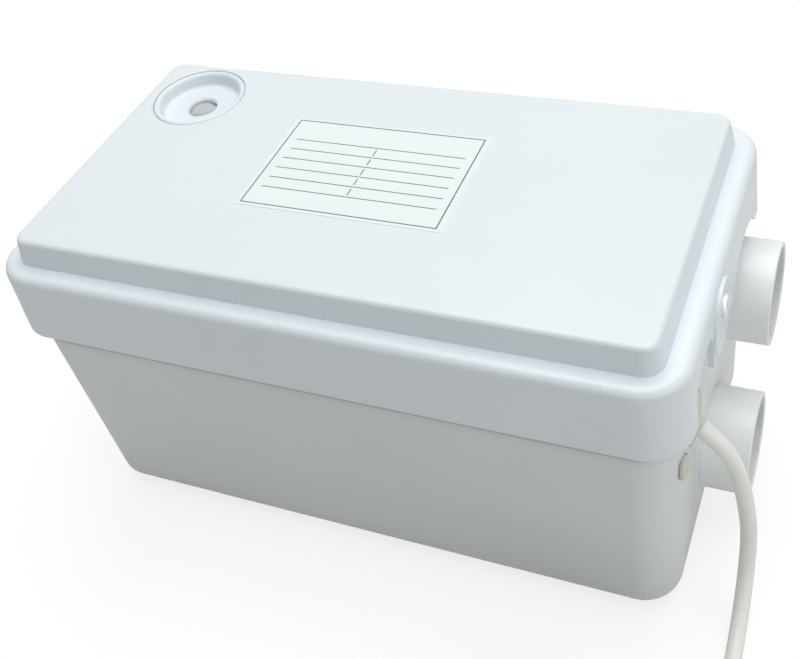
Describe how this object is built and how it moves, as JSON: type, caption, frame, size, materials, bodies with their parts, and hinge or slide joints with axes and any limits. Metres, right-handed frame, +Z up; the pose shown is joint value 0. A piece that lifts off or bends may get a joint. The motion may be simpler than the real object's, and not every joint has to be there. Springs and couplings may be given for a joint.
{
  "type": "sewage pump",
  "caption": "Boxed waste-water lifting pump with two side inlets, a non-return outlet, a lidded tank, a level switch and a mains lead.",
  "frame": {"origin": "centre of the base, under the rubber mat", "axes": "+X towards the inlet end, +Y to the back where the outlet is, +Z up"},
  "size_m": [0.327, 0.3373, 0.1592],
  "materials": {
    "body_plastic": "satin",
    "pale_rubber": "matt",
    "black_rubber": "matt",
    "flap_rubber": "satin",
    "label_paper": "matt",
    "lead_sheath": "satin",
    "steel": "brushed",
    "motor_paint": "satin",
    "plate_metal": "machined",
    "laminations": "matt",
    "copper": "satin",
    "pump_plastic": "matt",
    "grey_plastic": "matt",
    "switch_plastic": "matt",
    "capacitor_can": "satin",
    "filter_fleece": "matted fleece"
  },
  "bodies": {
    "housing": {"air_bell": "grey_plastic", "blanking_plug": "pale_rubber", "cable_coil": "lead_sheath", "cable_grommet": "pale_rubber", "cable_tail": "lead_sheath", "cable_tie": "grey_plastic", "capacitor": "capacitor_can", "capacitor_clip": "steel", "check_valve_body": "pump_plastic", "check_valve_cap": "pump_plastic", "diaphragm": "black_rubber", "diaphragm_cover": "grey_plastic", "discharge_elbow": "black_rubber", "discharge_spigot": "body_plastic", "hinge_pins": "steel", "hose_clamps": "steel", "inner_cable": "lead_sheath", "lid": "body_plastic", "lid_screws": "steel", "lid_seal": "black_rubber", "lower_inlet_stub": "body_plastic", "mains_cable": "lead_sheath", "microswitch": "switch_plastic", "motor_casing": "motor_paint", "motor_end_cover": "motor_paint", "plug_body": "lead_sheath", "plug_pins": "steel", "port_gaskets": "black_rubber", "port_screws": "steel", "pump_mount_screws": "steel", "pump_mounts": "black_rubber", "pump_screws": "steel", "rating_label": "label_paper", "rubber_mat": "black_rubber", "seal_plate": "plate_metal", "shaft_bearings": "steel", "shaft_seal": "black_rubber", "stator_core": "laminations", "stator_windings": "copper", "strain_relief": "pale_rubber", "suction_cover": "pump_plastic", "suction_strainer": "pump_plastic", "tank": "body_plastic", "terminal_block": "grey_plastic", "upper_inlet_stub": "body_plastic", "vent_basket": "grey_plastic", "vent_cup": "body_plastic", "vent_filter": "filter_fleece", "volute": "pump_plastic"},
    "rotor": {"rotor_core": "laminations", "motor_shaft": "steel", "impeller": "pump_plastic", "impeller_nut": "steel"},
    "upper_flap": {"upper_inlet_flap": "flap_rubber"},
    "lower_flap": {"lower_inlet_flap": "flap_rubber"},
    "valve_flap": {"check_valve_flap": "flap_rubber"},
    "plunger_body": {"plunger": "grey_plastic", "plunger_spring": "steel"},
    "lever": {"switch_lever": "grey_plastic"},
    "button": {"switch_button": "grey_plastic"}
  },
  "joints": [
    {"name": "rotor_spin", "type": "hinge", "parent": "housing", "child": "rotor", "pos_m": [-0.01, 0, 0.09], "axis": [0, 0, 1], "continuous": true},
    {"name": "upper_flap_swing", "type": "hinge", "parent": "housing", "child": "upper_flap", "pos_m": [0.1346, 0.033, 0.1195], "axis": [0, 1, 0], "range_deg": [0, 75]},
    {"name": "lower_flap_swing", "type": "hinge", "parent": "housing", "child": "lower_flap", "pos_m": [0.1346, -0.007, 0.0675], "axis": [0, 1, 0], "range_deg": [0, 75]},
    {"name": "valve_flap_swing", "type": "hinge", "parent": "housing", "child": "valve_flap", "pos_m": [-0.104, 0.0134, 0.0806], "axis": [1, 0, 0], "range_deg": [0, 65]},
    {"name": "plunger_slide", "type": "slide", "parent": "housing", "child": "plunger_body", "axis": [0, 0, 1], "range_m": [0, 0.002], "stiffness_N_per_m": 400, "springref_m": -0.003, "deforming": ["plunger_spring"]},
    {"name": "lever_swing", "type": "hinge", "parent": "housing", "child": "lever", "pos_m": [-0.119, -0.042, 0.1373], "axis": [0, -1, 0], "range_deg": [0, 8]},
    {"name": "button_slide", "type": "slide", "parent": "housing", "child": "button", "axis": [0, 0, 1], "range_m": [0, 0.0018], "stiffness_N_per_m": 150, "springref_m": -0.001}
  ],
  "couplings": [
    {"joint": "lever_swing", "follows": "plunger_slide", "rad_per_m": 66.667},
    {"joint": "button_slide", "follows": "plunger_slide", "ratio": 0.8}
  ]
}
